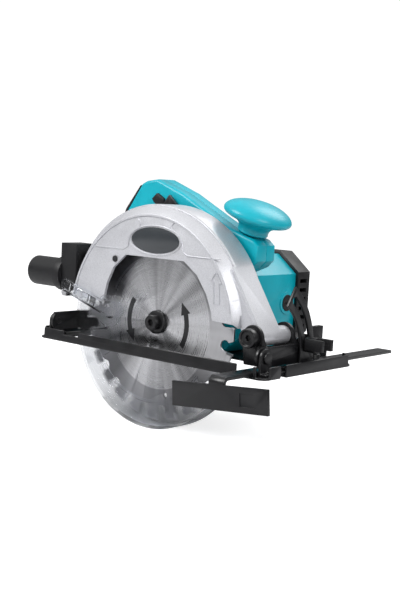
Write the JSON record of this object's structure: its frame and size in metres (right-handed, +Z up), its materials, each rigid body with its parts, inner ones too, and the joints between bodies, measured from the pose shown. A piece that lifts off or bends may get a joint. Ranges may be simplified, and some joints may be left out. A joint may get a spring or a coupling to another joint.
{
  "type": "circular saw",
  "caption": "Handheld circular saw with cast upper guard, clear retracting lower guard, tilting base plate and rip fence.",
  "frame": {"origin": "on the sole, under the spindle, in the blade's middle plane", "axes": "+X the cutting direction, +Y from the blade towards the motor, +Z up"},
  "size_m": [0.3557, 0.268, 0.2319],
  "materials": {
    "black_steel": "satin",
    "black_plastic": "fine texture",
    "zinc_steel": "zinc plated",
    "blade_steel": "ground",
    "carbide": "ground",
    "silver_casting": "silver paint",
    "teal_plastic": "satin",
    "black_rubber": "matt",
    "badge": "gloss",
    "clear_plastic": "clear polycarbonate",
    "core_steel": "laminated",
    "copper": "copper",
    "bronze": "sintered bronze",
    "carbon": "carbon"
  },
  "bodies": {
    "base": {"base_plate": "black_steel", "bevel_quadrant": "black_steel", "rear_lug": "black_steel", "base_rivets": "black_steel", "fence_saddle": "black_steel"},
    "fence": {"rip_fence": "black_steel"},
    "fence_clamp": {"fence_screw": "black_plastic"},
    "bevel_frame": {"front_bracket": "black_steel", "bevel_pins": "zinc_steel", "depth_guide": "black_steel", "pivot_bolt": "black_steel", "pivot_nut": "black_steel", "bevel_bolt": "zinc_steel"},
    "bevel_clamp": {"bevel_wing": "black_plastic"},
    "saw_body": {"upper_guard": "silver_casting", "guard_badge": "badge", "guard_screws": "zinc_steel", "stop_rubber": "black_rubber", "gear_housing": "silver_casting", "gear_cover": "silver_casting", "spindle_bearing": "zinc_steel", "spindle_bush": "bronze", "motor_housing": "teal_plastic", "stator": "core_steel", "field_coils": "copper", "end_cover": "black_plastic", "cover_screws": "zinc_steel", "motor_bearings": "zinc_steel", "brush_holders": "bronze", "carbon_brushes": "carbon", "brush_caps": "black_plastic", "handle_near": "teal_plastic", "handle_far": "teal_plastic", "handle_screws": "zinc_steel", "rear_grip": "black_rubber", "switch_body": "black_plastic", "front_knob": "teal_plastic", "knob_bolt": "zinc_steel", "dust_nozzle": "black_plastic", "nozzle_screw": "zinc_steel", "guard_spring": "zinc_steel", "guard_retainer": "zinc_steel", "depth_lock_bolt": "zinc_steel"},
    "depth_clamp": {"depth_lever": "black_plastic"},
    "retracting_guard": {"lower_guard": "clear_plastic"},
    "blade_spindle": {"spindle": "zinc_steel", "spindle_gear": "zinc_steel", "inner_flange": "zinc_steel", "saw_blade": "blade_steel", "carbide_tips": "carbide", "outer_flange": "black_steel", "blade_bolt": "black_steel"},
    "armature": {"armature_shaft": "zinc_steel", "armature_core": "core_steel", "commutator": "copper", "cooling_fan": "black_plastic"},
    "switch_trigger": {"trigger": "black_plastic"},
    "switch_lock": {"lock_button": "black_plastic"},
    "shaft_lock": {"spindle_lock": "black_plastic"}
  },
  "joints": [
    {"name": "bevel_tilt", "type": "hinge", "parent": "base", "child": "bevel_frame", "pos_m": [0, -0.013, 0.017], "axis": [1, 0, 0], "range_deg": [0, 45]},
    {"name": "depth_swing", "type": "hinge", "parent": "bevel_frame", "child": "saw_body", "pos_m": [0.12, 0, 0.032], "axis": [0, 1, 0], "range_deg": [0, 31]},
    {"name": "fence_slide", "type": "slide", "parent": "base", "child": "fence", "axis": [0, 1, 0], "range_m": [-0.1, 0.02]},
    {"name": "fence_clamp_turn", "type": "hinge", "parent": "base", "child": "fence_clamp", "pos_m": [0.126, 0.075, 0.02], "axis": [0, 0, 1], "range_deg": [0, 360]},
    {"name": "bevel_clamp_turn", "type": "hinge", "parent": "bevel_frame", "child": "bevel_clamp", "pos_m": [0.145, 0.04655, 0.02431], "axis": [1, 0, 0], "range_deg": [0, 180]},
    {"name": "depth_lock_turn", "type": "hinge", "parent": "saw_body", "child": "depth_clamp", "pos_m": [-0.04935, 0.03, 0.04682], "axis": [0, 1, 0], "range_deg": [-45, 0]},
    {"name": "guard_swing", "type": "hinge", "parent": "saw_body", "child": "retracting_guard", "pos_m": [0, 0.01, 0.03], "axis": [0, 1, 0], "range_deg": [0, 120], "stiffness_Nm_per_rad": 0.05, "springref_deg": -114.59},
    {"name": "blade_spin", "type": "hinge", "parent": "saw_body", "child": "blade_spindle", "pos_m": [0, 0.01, 0.03], "axis": [0, 1, 0], "continuous": true},
    {"name": "armature_spin", "type": "hinge", "parent": "saw_body", "child": "armature", "pos_m": [0.01994, 0.08, 0.04994], "axis": [0, 1, 0], "continuous": true},
    {"name": "trigger_pull", "type": "hinge", "parent": "saw_body", "child": "switch_trigger", "pos_m": [-0.00355, 0.042, 0.12398], "axis": [0, 1, 0], "range_deg": [0, 10], "stiffness_Nm_per_rad": 0.8, "springref_deg": -17.19},
    {"name": "lock_press", "type": "slide", "parent": "saw_body", "child": "switch_lock", "axis": [0, 1, 0], "range_m": [0, 0.003], "stiffness_N_per_m": 600, "springref_m": -0.003},
    {"name": "spindle_lock_press", "type": "slide", "parent": "saw_body", "child": "shaft_lock", "axis": [-1, 0, 0], "range_m": [0, 0.0025], "stiffness_N_per_m": 600, "springref_m": -0.003}
  ],
  "couplings": [
    {"joint": "armature_spin", "follows": "blade_spin", "ratio": -4.2222}
  ]
}
